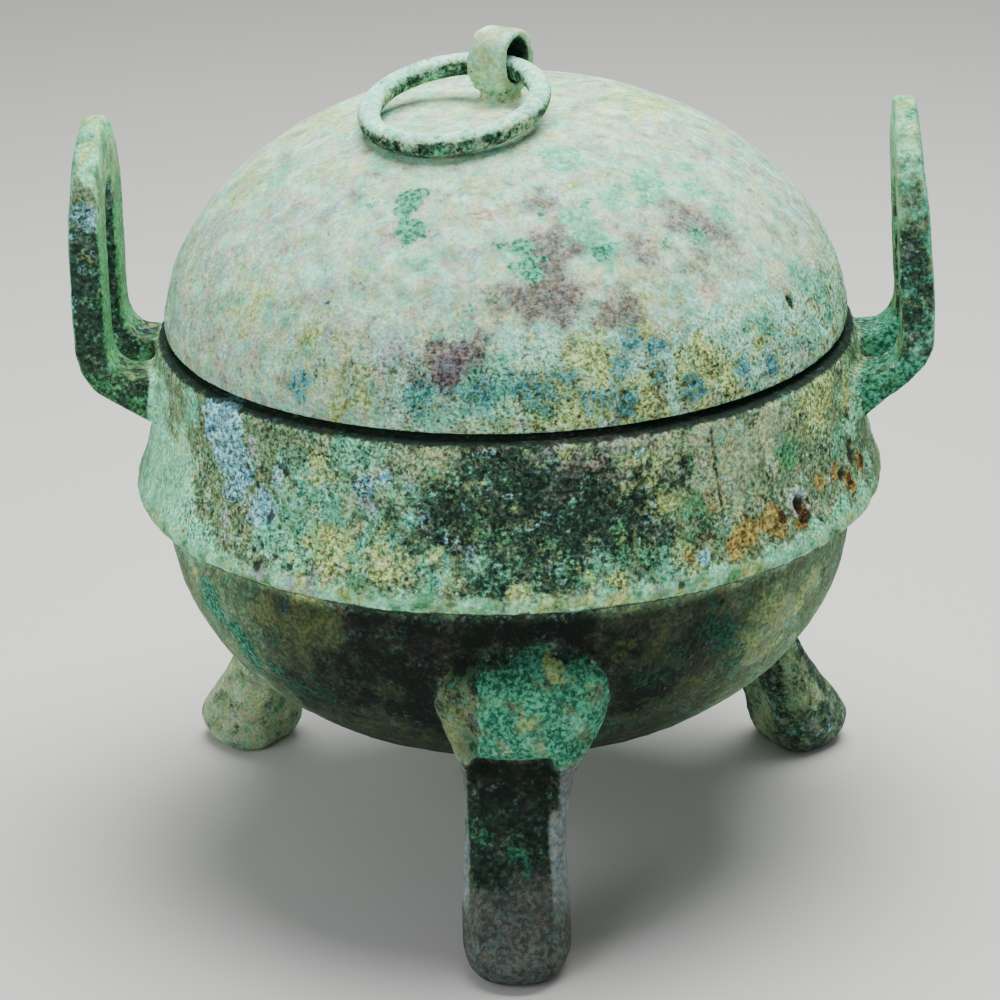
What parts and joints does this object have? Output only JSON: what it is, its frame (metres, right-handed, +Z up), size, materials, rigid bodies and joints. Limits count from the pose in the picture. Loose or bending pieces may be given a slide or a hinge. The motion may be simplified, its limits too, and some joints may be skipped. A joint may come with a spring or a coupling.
{
  "type": "lidded ding vessel",
  "caption": "Cast bronze ding: a round-bellied tripod vessel with upright slotted ears, a lift-off domed lid and a loose swinging ring.",
  "frame": {"origin": "middle of the object's bounding box at ground level, 2.2 mm in front of the vessel's turning axis, because the front foot reaches furthest out", "axes": "+Z up along the vessel's turning axis, -Y towards the front leg, +X towards the ear that is on the right when seen from the front"},
  "size_m": [0.1796, 0.1644, 0.1802],
  "materials": {
    "vessel_bronze": "corroded cast bronze, matt pitted patina in green, olive, black-green and rust",
    "lid_bronze": "corroded cast bronze, matt granular patina in pale cream-green, malachite and purple-brown",
    "ring_bronze": "corroded cast bronze, pale mint-grey patina, darker green below"
  },
  "bodies": {
    "vessel": {"vessel": "vessel_bronze", "lid": "lid_bronze"},
    "ring": {"ring": "ring_bronze"}
  },
  "joints": [
    {"name": "ring_swing", "type": "hinge", "parent": "vessel", "child": "ring", "pos_m": [0, 0.00222, 0.1723], "axis": [-0.8572, 0.515, 0], "range_deg": [0, 205]}
  ]
}
